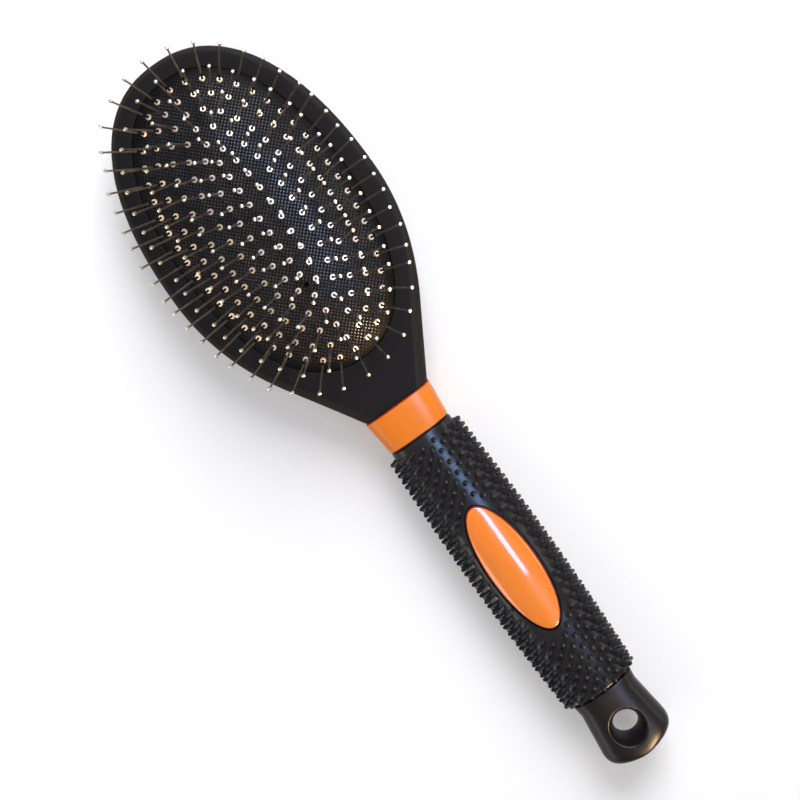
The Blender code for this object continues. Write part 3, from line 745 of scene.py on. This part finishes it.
# %% One pin
PIN_SIDES = 8
WIRE_RADIUS = 0.35
SHADED_ROOT_TOP = 3.0
WIRE_TOP = 16.6
FOOT_PROFILE = ((0.92, -0.3), (0.92, 0.16), (0.78, 0.42), (0.48, 0.42), (0.40, -0.1))
WIRE_PROFILE = ((WIRE_RADIUS, -0.1), (0.33, SHADED_ROOT_TOP), (0.26, WIRE_TOP))
BALL_PROFILE = ((0.5, 16.8), (0.6, 17.2), (0.46, 17.6), (0.02, 17.8))
PIN_METALS = [NICKEL, WIRE, SHADED_ROOT, FOOT]


def metal_at(radius, height):
    """The metal of a pin's face whose middle is here, in millimetres."""
    # Painted shade: below the root's top the wire takes the near-black root metal.
    if height < SHADED_ROOT_TOP:
        return FOOT if radius > WIRE_RADIUS else SHADED_ROOT
    return WIRE if height < WIRE_TOP else NICKEL


def pin_mesh():
    """A pin that stands on the origin."""
    bm = spun(FOOT_PROFILE + WIRE_PROFILE + BALL_PROFILE, PIN_SIDES)
    for face in bm.faces:
        middle = face.calc_center_median() / MM
        face.material_index = PIN_METALS.index(metal_at(middle.xy.length, middle.z))
    return as_mesh(bm, "one_pin")


ONE_PIN = pin_mesh()
print("one pin has", len(ONE_PIN.polygons), "faces")

# %% [markdown]
# Pins stand in five ovals and a row of nine. Their places repeat the frame's own: shares of the
# cushion's half width for the ovals, and even steps along the ridge for the row. Pins splay with
# the dome, so each oval has its leans at the tip, at the neck and at the sides.

# %% Places of the pins
RING_SHARES = (0.190, 0.378, 0.553, 0.718, 0.868)
RING_PIN_COUNTS = (22, 28, 34, 40, 46)
LEANS_TIP = (4.7, 7.5, 11.0, 19.0, 32.0)
LEANS_NECK = (4.7, 7.5, 11.0, 17.8, 24.5)
LEANS_ACROSS = (4.2, 11.9, 18.7, 26.4, 32.7)
ROW_PIN_COUNT = 9
ROW_FAR = 19.6 * MM
ROW_NEAR = -18.8 * MM


def outward(x, y, half_width):
    """The direction square to the oval at one of its points about the cushion's middle."""
    half_length = PAD_RIDGE_HALF + half_width
    along = math.copysign(abs(x / half_length) ** (PAD_OVAL_POWER - 1), x) / half_length
    across = math.copysign(abs(y / half_width) ** (PAD_OVAL_POWER - 1), y) / half_width
    return Vector((along, across, 0)).normalized()


def row_places():
    """Place and axis of each pin on the row."""
    xs = np.linspace(ROW_FAR, ROW_NEAR, ROW_PIN_COUNT)
    return [(Vector((PAD_X + x, 0, dome_z(0))), Vector((0, 0, 1))) for x in xs]


def oval_places(half_width, count, lean_tip, lean_neck, lean_across):
    """Place and axis of each pin on one oval, with its leans in degrees."""
    places = []
    for x, y in pad_oval(half_width, np.arange(count) / count):
        out = outward(x - PAD_X, y, half_width)
        along = out.x * math.sin(math.radians(lean_tip if out.x > 0 else lean_neck))
        across = out.y * math.sin(math.radians(lean_across))
        axis = Vector((along, across, math.sqrt(1 - along**2 - across**2)))
        places.append((Vector((x, y, dome_z(half_width))), axis))
    return places


print(ROW_PIN_COUNT + sum(RING_PIN_COUNTS), "places for pins")

# %% [markdown]
# Pins could be scattered by Geometry Nodes, but their places are known, so the mesh is copied to
# each of them. Hand-set pins never stand quite true, so each leans a degree or so by a seeded
# draw. Each oval rides on its own slice of the cushion.

# %% All the pins
PIN_WOBBLE = math.radians(1.3)
WOBBLE_SEED = 7
draw = np.random.default_rng(WOBBLE_SEED)


def pins(name, places):
    """One object of pins, each a little off its true axis."""
    bm = bmesh.new()
    tilts = draw.normal(0, PIN_WOBBLE, (len(places), 2))
    leaning = [(place, axis + Vector((*tilt, 0))) for (place, axis), tilt in zip(places, tilts)]
    plant(bm, ONE_PIN, leaning)
    return mesh_object(name, bm, PIN_METALS)


settle(pins("pin_row", row_places()), ["cushion_centre"], "pad_centre")
ovals = zip(RING_SHARES, RING_PIN_COUNTS, LEANS_TIP, LEANS_NECK, LEANS_ACROSS)
for number, (share, *count_and_leans) in enumerate(ovals, 1):
    places = oval_places(share * PAD_HALF_WIDTH, *count_and_leans)
    oval = pins(f"pin_oval_{number}", places)
    settle(oval, [f"cushion_ring_{number}"], f"pad_ring_{number}")

# %% [markdown]
# ## The handle
# Collar, grip and end cap slide over a hidden tang, and each is lofted from sections across the
# handle. A section is a squared oval about the handle's axis. Collar and grip are tubes: they
# start in the bore at one end, go out and along, and come back into the bore at the other.

# %% Sections of the handle
ROUND_COUNT = 96
BORE_HALF_WIDTH = 7.8 * MM
BORE_HALF_DEPTH = 5.5 * MM
EDGE_STEPS = 4


def section(x, half_width, half_depth, power=2.0):
    """A ring across the handle at x."""
    across, up = squared_oval(round_angles(ROUND_COUNT), power)
    return np.column_stack([np.full(ROUND_COUNT, x), half_width * across, AXIS_Z + half_depth * up])


def rounded_run(start, end, half_start, half_end, edge):
    """Places and half widths along a tapering piece whose two ends are rounded."""
    way = math.copysign(1, end - start)
    corner = rounding(edge, EDGE_STEPS)
    opening = [(start + way * along, half_start - inset) for inset, along in reversed(corner)]
    closing = [(end - way * along, half_end - inset) for inset, along in corner]
    return opening + closing


def bored_tube(run, depth_share, power=2.0):
    """A tube through places and half widths, with the handle's bore in it."""
    ends = [section(x, BORE_HALF_WIDTH, BORE_HALF_DEPTH) for x in (run[0][0], run[-1][0])]
    skin = [section(x, half, half * depth_share, power) for x, half in run]
    return closed_tube([ends[0], *skin, ends[1]])


print("a section has", ROUND_COUNT, "points")

# %% [markdown]
# The collar is a short ring that tapers from the neck to the grip. A cylinder with a Bevel would
# do if it were round, but its section is nearly square, so it is a loft. Faces that look along
# the handle, on its ends and their rounding, are given the painted edge shade, a deep orange.
# From the front they show as a thin dark line, the painted shade of the seams.

# %% The orange collar
COLLAR_END_HALF_WIDTH = 10 * MM
COLLAR_POWER = 3.2
COLLAR_EDGE = 0.4 * MM
SHADED_EDGE_LEAN = 0.2


def paint_edge_shade(obj, on_edge):
    """Gives the second material, the painted edge shade, to the faces that pass this test."""
    for face in obj.data.polygons:
        face.material_index = int(on_edge(face))
    return obj


def orange_collar():
    """A tapered tube with painted shade on its edges."""
    run = rounded_run(collar_high.x, collar_low.x, NECK_HALF_WIDTH, COLLAR_END_HALF_WIDTH, COLLAR_EDGE)
    tube = bored_tube(run, NECK_HALF_DEPTH / NECK_HALF_WIDTH, COLLAR_POWER)
    obj = mesh_object("orange_collar", tube, [COLLAR_ORANGE, SHADED_EDGE_ORANGE])
    # Painted shade: the faces at the collar's ends take the deep orange edge.
    return paint_edge_shade(obj, lambda face: abs(face.normal.x) > SHADED_EDGE_LEAN)


settle(orange_collar(), ["neck_collar"])

# %% [markdown]
# ## The grip
# The grip is a sleeve that swells a little in the palm. The badge lies on its front, so the
# height of the sleeve's surface is a function of its own, which the seat, the studs and the badge
# share. Under the badge the sleeve has a shallow seat, half a millimetre wider than the badge, so
# that a dark line stays round it.

# %% The sleeve's surface
sleeve_low, sleeve_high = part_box("grip_sleeve")
badge_low, badge_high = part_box("badge")
SLEEVE_LENGTH = sleeve_high.x - sleeve_low.x
SLEEVE_END_HALF_WIDTH = 10.1 * MM
SLEEVE_BELLY = 1.2 * MM
SLEEVE_DEPTH_SHARE = 0.78
BADGE_X = (badge_low.x + badge_high.x) / 2
BADGE_HALF_LENGTH = (badge_high.x - badge_low.x) / 2
BADGE_HALF_WIDTH = 7.3 * MM


def sleeve_half(x):
    """The sleeve's half width under its studs."""
    share = min(max((sleeve_high.x - x) / SLEEVE_LENGTH, 0), 1)
    return SLEEVE_END_HALF_WIDTH + SLEEVE_BELLY * math.sin(math.pi * share)


def sleeve_top(x, y):
    """The height of the sleeve's front at a place."""
    half = sleeve_half(x)
    return AXIS_Z + half * SLEEVE_DEPTH_SHARE * math.sqrt(1 - (y / half) ** 2)


def badge_ring(grow, z):
    """An ellipse round the badge's middle, this much larger than the badge; z is a function."""
    angle = round_angles(ROUND_COUNT)
    x = BADGE_X + (BADGE_HALF_LENGTH + grow) * np.cos(angle)
    y = (BADGE_HALF_WIDTH + grow) * np.sin(angle)
    return np.array([(a, b, z(a, b)) for a, b in zip(x, y)])


print(f"sleeve {SLEEVE_LENGTH / MM:.1f} mm long, badge {2 * BADGE_HALF_LENGTH / MM:.1f} mm long")

# %% [markdown]
# The seat's edge crosses the sections of the sleeve, so it isn't drawn into the loft: a plug with
# the badge's outline is lofted too, and a Boolean takes it out of the sleeve.

# %% The sleeve under its studs
SLEEVE_EDGE = 0.5 * MM
SLEEVE_STEPS = 60
BADGE_GAP = 0.55 * MM
SEAT_DEPTH = 1.6 * MM


def seat_plug():
    """A plug that follows the sleeve's surface, from below its skin to above it."""
    floor = badge_ring(BADGE_GAP, lambda x, y: sleeve_top(x, y) - SEAT_DEPTH)
    lid = badge_ring(BADGE_GAP, lambda x, y: sleeve_top(x, y) + SEAT_DEPTH)
    middles = (floor.mean(axis=0), lid.mean(axis=0) + (0, 0, SEAT_DEPTH))
    floor_middle, lid_middle = (np.tile(middle, (ROUND_COUNT, 1)) for middle in middles)
    return mesh_object("badge_seat", loft([floor_middle, floor, lid, lid_middle]))


def sleeve_skin():
    """The smooth sleeve with its bore and the badge's seat."""
    ends = rounded_run(sleeve_high.x, sleeve_low.x, sleeve_half(sleeve_high.x),
                       sleeve_half(sleeve_low.x), SLEEVE_EDGE)
    middle = len(ends) // 2
    xs = np.linspace(sleeve_high.x - SLEEVE_EDGE, sleeve_low.x + SLEEVE_EDGE, SLEEVE_STEPS)[1:-1]
    run = ends[:middle] + [(x, sleeve_half(x)) for x in xs] + ends[middle:]
    tube = bored_tube(run, SLEEVE_DEPTH_SHARE)
    return cut(mesh_object("studded_grip", tube, [GRIP_SKIN, GRIP_STUD]), seat_plug())


grip = sleeve_skin()
print("sleeve skin has", len(grip.data.polygons), "faces")

# %% [markdown]
# About 700 rubber studs cover the sleeve in a staggered net, 3.8 mm apart along it. One stud is a
# spun profile: a flared root, a blunt finger and a round tip, 2.25 mm tall. An Array modifier
# would do on a plain cylinder, but here each stud is turned to the sleeve's normal, and none
# stands on the smooth field round the badge, so a loop finds their places.

# %% Studs of the grip
STUD_SIDES = 8
STUD_COLUMNS = 34
STUD_PITCH = 3.8 * MM
BADGE_FIELD = 1.6 * MM
STUD_FIRST = 2.9 * MM
STUD_LAST = 1.0 * MM
STUD_PROFILE = ((1.05, -0.25), (0.76, 0.2), (0.68, 1.4), (0.46, 2.05), (0.02, 2.25))


def stud_places():
    """Place and axis of each stud, row by row along the sleeve."""
    rows = round((SLEEVE_LENGTH - STUD_FIRST - STUD_LAST) / STUD_PITCH * 2) + 1
    places = []
    for j, x in enumerate(np.linspace(sleeve_high.x - STUD_FIRST, sleeve_low.x + STUD_LAST, rows)):
        half = sleeve_half(x)
        for i in range(STUD_COLUMNS):
            angle = 2 * math.pi * i / STUD_COLUMNS
            y, up = half * math.cos(angle), half * SLEEVE_DEPTH_SHARE * math.sin(angle)
            along = (x - BADGE_X) / (BADGE_HALF_LENGTH + BADGE_FIELD)
            across = y / (BADGE_HALF_WIDTH + BADGE_FIELD)
            on_badge = up > 0 and along**2 + across**2 < 1
            if (i + j) % 2 or on_badge:
                continue
            axis = Vector((0, math.cos(angle) * SLEEVE_DEPTH_SHARE, math.sin(angle))).normalized()
            places.append((Vector((x, y, AXIS_Z + up)), axis))
    return places


def add_studs(obj):
    """Plants the studs on the sleeve, with its second material. Returns how many there are."""
    places = stud_places()
    bm = bmesh.new()
    bm.from_mesh(obj.data)
    skin_count = len(bm.faces)
    plant(bm, as_mesh(spun(STUD_PROFILE, STUD_SIDES), "one_stud"), places)
    for face in list(bm.faces)[skin_count:]:
        face.material_index = 1
    bm.to_mesh(obj.data)
    bm.free()
    shade(obj.data)
    return len(places)


print(add_studs(grip), "studs")
settle(grip, ["grip_sleeve"])

# %% [markdown]
# The badge is a bare lens of orange plastic that follows the sleeve and is domed a little more,
# with a rounded edge that drops into the seat. A squashed sphere would not sit on the sleeve, so
# it is lofted from ellipses laid over the sleeve's surface. Its outermost 0.3 mm is painted a deep
# edge orange, a painted shade where the badge drops into its seat.

# %% The bare badge
BADGE_RISE = 0.3 * MM
BADGE_DOME = 0.8 * MM
BADGE_EDGE = 0.5 * MM
BADGE_SHADE_LINE = 0.3 * MM
BADGE_EDGE_STEPS = 6
BADGE_STEPS = 14


def badge_top(x, y):
    """The height of the badge's face at a place."""
    along, across = (x - BADGE_X) / BADGE_HALF_LENGTH, y / BADGE_HALF_WIDTH
    return sleeve_top(x, y) + BADGE_RISE + BADGE_DOME * (1 - along**2 - across**2)


def on_badge_shade_line(face):
    """Whether a face lies on the painted shade line round the badge."""
    along = (face.center.x - BADGE_X) / (BADGE_HALF_LENGTH - BADGE_SHADE_LINE)
    across = face.center.y / (BADGE_HALF_WIDTH - BADGE_SHADE_LINE)
    return along**2 + across**2 > 1


def badge_dome():
    """The badge from the middle of its underside, round its edge, to the middle of its face."""
    foot = badge_ring(0, lambda x, y: sleeve_top(x, y) - SEAT_DEPTH + GAP)
    rings = [np.tile(foot.mean(axis=0), (ROUND_COUNT, 1)), foot]
    for inset, drop in rounding(BADGE_EDGE, BADGE_EDGE_STEPS):
        rings.append(badge_ring(-inset, lambda x, y: badge_top(x, y) - drop))
    edge = rings[-1]
    for share in np.linspace(1, 0, BADGE_STEPS)[1:]:
        shrunk = edge * (share, share, 1) + (BADGE_X * (1 - share), 0, 0)
        rings.append(np.array([(x, y, badge_top(x, y)) for x, y, _ in shrunk]))
    dome = mesh_object("badge_dome", loft(rings), [BADGE_ORANGE, SHADED_EDGE_ORANGE])
    # Painted shade: the badge's outermost 0.3 mm takes the deep orange edge.
    return paint_edge_shade(dome, on_badge_shade_line)


settle(badge_dome(), ["badge"])

# %% [markdown]
# ## The end cap
# The cap is a plug with a slight waist that flares to a round end. Its outline is worked out in
# three stretches: in to the waist, out to the flare, and round the end.

# %% The outline of the end cap
cap_low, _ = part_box("end_cap")
CAP_START_X = sleeve_low.x - GAP
CAP_LENGTH = CAP_START_X - cap_low.x
CAP_SHOULDER = 9.9 * MM
CAP_WAIST = 9.5 * MM
CAP_FLARE = 11.0 * MM
CAP_HALF_DEPTH = 7.5 * MM
CAP_END_ROUND = 1.0 * MM
CAP_TO_WAIST = 4.0 * MM
CAP_TO_FLARE = 16.2 * MM
CAP_END_POWER = 2.8
WAIST_STEPS = 8
FLARE_STEPS = 10
END_STEPS = 24


def cap_run():
    """Reach from the sleeve, half width and half depth, down the cap."""
    run = [(CAP_TO_WAIST * t, CAP_SHOULDER + (CAP_WAIST - CAP_SHOULDER) * smoothstep(t), CAP_HALF_DEPTH)
           for t in np.linspace(0, 1, WAIST_STEPS)]
    run += [(CAP_TO_WAIST + (CAP_TO_FLARE - CAP_TO_WAIST) * t,
             CAP_WAIST + (CAP_FLARE - CAP_WAIST) * t, CAP_HALF_DEPTH)
            for t in np.linspace(0, 1, FLARE_STEPS)[1:]]
    for angle in np.linspace(0, math.pi / 2, END_STEPS)[1:]:
        half_share, reach_share = squared_oval(angle, CAP_END_POWER)
        run.append((CAP_TO_FLARE + (CAP_LENGTH - CAP_TO_FLARE) * reach_share, CAP_FLARE * half_share,
                    CAP_HALF_DEPTH - CAP_END_ROUND * (1 - math.cos(angle))))
    return run


print(f"cap {CAP_LENGTH / MM:.1f} mm long in", len(cap_run()), "steps")

# %% [markdown]
# Its hanging hole is an hourglass, wide at both mouths, so that a cord or a hook slides in. A
# crisp Boolean edge would look cut, not moulded, so the piece is remeshed in fine voxels and
# smoothed, which rounds every edge alike. The drill's radii are in millimetres, as spinning
# takes them.

# %% The end cap with its hanging hole
CAP_POWER = 2.5
CAP_VOXEL = 0.25 * MM
HOLE_FROM_END = 9.7 * MM
HOLE_WAIST = 3.7
HOLE_MOUTH = 5.7
DRILL_REACH_SHARE = 1.3
DRILL_STEPS = 27
DRILL_SIDES = 64


def hole_drill():
    """An hourglass about the handle's axis, longer than the cap is deep."""
    depth = CAP_HALF_DEPTH / MM
    shares = np.linspace(-DRILL_REACH_SHARE, DRILL_REACH_SHARE, DRILL_STEPS)
    profile = [(HOLE_WAIST + (HOLE_MOUTH - HOLE_WAIST) * s * s, depth * s) for s in shares]
    bm = spun(profile, DRILL_SIDES)
    bmesh.ops.translate(bm, verts=bm.verts, vec=(cap_low.x + HOLE_FROM_END, 0, AXIS_Z))
    return mesh_object("hole_drill", bm)


def handle_end():
    """The cap, closed at both ends, drilled and softened."""
    rings = [section(CAP_START_X, 0, 0)]
    rings += [section(CAP_START_X - reach, half, depth, CAP_POWER) for reach, half, depth in cap_run()]
    rings.append(section(cap_low.x, 0, 0))
    cap = cut(mesh_object("handle_end", loft(rings), [CAP_BROWN]), hole_drill())
    remesh = cap.modifiers.new("moulded", "REMESH")
    remesh.mode = "VOXEL"
    remesh.voxel_size = CAP_VOXEL
    smooth = cap.modifiers.new("softened", "SMOOTH")
    smooth.factor = 0.5
    smooth.iterations = 6
    return apply_modifiers(cap)


settle(handle_end(), ["end_cap"])

# %% [markdown]
# ## The stage
# The brush lies on white paper. Its colour is the pale grey of real paper, so that it can hold a
# shadow. Towards the camera alone it glows a little, which lifts the open floor to white and
# leaves the light on the brush as it is. Light Path says which ray is asking.

# %% Floor
FLOOR_HALF = 1.5
FLOOR_Z = -0.1 * MM
FLOOR_GLOW = 0.185
PAPER_FIBRE = 0.8 * MM


def studio_paper():
    """Matt paper that glows for the camera alone."""
    mat, shader = principled("studio_paper", Roughness=0.9)
    place = add(mat, "TexCoord").outputs["Object"]
    fibre = add(mat, "TexNoise", {"Vector": place, "Scale": 1 / PAPER_FIBRE, "Detail": 2.0})
    tone = add(mat, "Mix", {0: fibre.outputs["Fac"], 6: srgb("#E0E0E2"), 7: srgb("#E3E3E5")},
               data_type="RGBA")
    camera_ray = add(mat, "LightPath").outputs["Is Camera Ray"]
    glow = add(mat, "Math", {0: camera_ray, 1: FLOOR_GLOW}, operation="MULTIPLY")
    plug(shader, {"Base Color": tone.outputs[2], "Emission Color": srgb("#FFFFFF"),
                  "Emission Strength": glow.outputs[0]})
    return mat


def white_floor():
    """A wide sheet of paper just under the brush."""
    bm = bmesh.new()
    bmesh.ops.create_grid(bm, x_segments=1, y_segments=1, size=FLOOR_HALF,
                          matrix=Matrix.Translation((0, 0, FLOOR_Z)))
    return mesh_object("studio_floor", bm, [studio_paper()])


white_floor()
print("floor", 2 * FLOOR_HALF, "m wide")

# %% [markdown]
# ## Light
# A big soft key hangs past the head on the brush's right and throws the soft shadow. A wide sheet
# overhead and a shadowless fill on the left open the shadow side. The other four are mirror lights
# only, so that they leave no tint on the paper: a long cool strip for the streaks along grip, badge
# and cushion, a small warm lamp past the handle's end for the cushion's near slope, and two low
# strips that lift the sides of collar and cap.

# %% Lamps
def lamp(name, place, target, size, power, colour="#FFFFFF", diffuse=True, glossy=True, shadow=True):
    """A rectangular lamp, wide along the brush, which lights matt or mirroring surfaces or both."""
    light = bpy.data.lights.new(name, "AREA")
    light.shape = "RECTANGLE"
    light.size, light.size_y = size
    light.energy = power
    light.color = srgb(colour)[:3]
    light.use_shadow = shadow
    obj = bpy.data.objects.new(name, light)
    obj.location = place
    obj.rotation_euler = (Vector(target) - Vector(place)).to_track_quat("-Z", "Y").to_euler()
    obj.visible_diffuse = diffuse
    obj.visible_glossy = glossy
    bpy.context.scene.collection.objects.link(obj)


lamp("key_lamp", (0.72, -0.60, 0.80), (0, 0, 0), (0.76, 0.76), 16.9)
lamp("overhead_sheet", (0, 0, 1.0), (0, 0, 0), (2.5, 2.5), 4.8)
lamp("left_fill", (-0.17, 1.04, 0.75), (0, 0, 0), (1.0, 1.0), 5.4, glossy=False, shadow=False)
lamp("cool_strip", (0.07, -0.35, 0.90), (0.07, 0, 0), (0.72, 0.23), 16, "#9CBEFF", diffuse=False)
lamp("warm_lamp", (-0.72, -0.19, 0.56), (0.02, 0, 0.02), (0.28, 0.28), 26, "#FFD9A8", diffuse=False)
lamp("left_rim", (0, 1.1, 0.24), (0, 0, 0.02), (1.4, 0.28), 5.6, diffuse=False, shadow=False)
lamp("right_rim", (0, -1.1, 0.24), (0, 0, 0.02), (1.4, 0.28), 4.2, diffuse=False, shadow=False)
print(len(bpy.data.lights), "lamps")

# %% [markdown]
# A dim, slightly cool world stands for the room. It fills what no lamp reaches. The Standard view
# shows each colour about as it is written.

# %% World and view
WORLD_STRENGTH = 0.15

world = bpy.data.worlds.new("studio_world")
world.use_nodes = True
plug(world.node_tree.nodes["Background"], {"Color": srgb("#F4F6FA"), "Strength": WORLD_STRENGTH})
bpy.context.scene.world = world
bpy.context.scene.view_settings.view_transform = "Standard"
print("a pale world of strength", WORLD_STRENGTH)

# %% [markdown]
# ## Camera
# The photograph looks straight down from half a metre over a point on the brush's right, beside
# the cushion, and it is cut from a wider picture: that point isn't its middle, but the head isn't
# tapered by perspective either. So the camera looks straight down too, is rolled by the brush's
# angle in the picture, and its lens is shifted to bring the brush back to the middle.

# %% Camera
BRUSH_ANGLE = math.radians(35.68)
LENS = 76.8
CAMERA_PLACE = Vector((NECK_X + 42.6 * MM, -41.2 * MM, 505 * MM))
LENS_SHIFT = (-0.0324, -0.2527)


def camera_down(place, up):
    """A camera that looks straight down, with this direction upwards in its picture."""
    back = Vector((0, 0, 1))
    turn = Matrix((up.cross(back), up, back)).transposed()
    obj = bpy.data.objects.new("photo_camera", bpy.data.cameras.new("photo_camera"))
    obj.data.lens = LENS
    obj.data.shift_x, obj.data.shift_y = LENS_SHIFT
    obj.data.clip_start = 0.01
    obj.matrix_world = Matrix.Translation(place) @ turn.to_4x4()
    bpy.context.scene.collection.objects.link(obj)
    return obj


picture_up = Vector((math.cos(BRUSH_ANGLE), -math.sin(BRUSH_ANGLE), 0))
bpy.context.scene.camera = camera_down(CAMERA_PLACE, picture_up)
print(f"camera {CAMERA_PLACE.z / MM:.0f} mm above the floor")
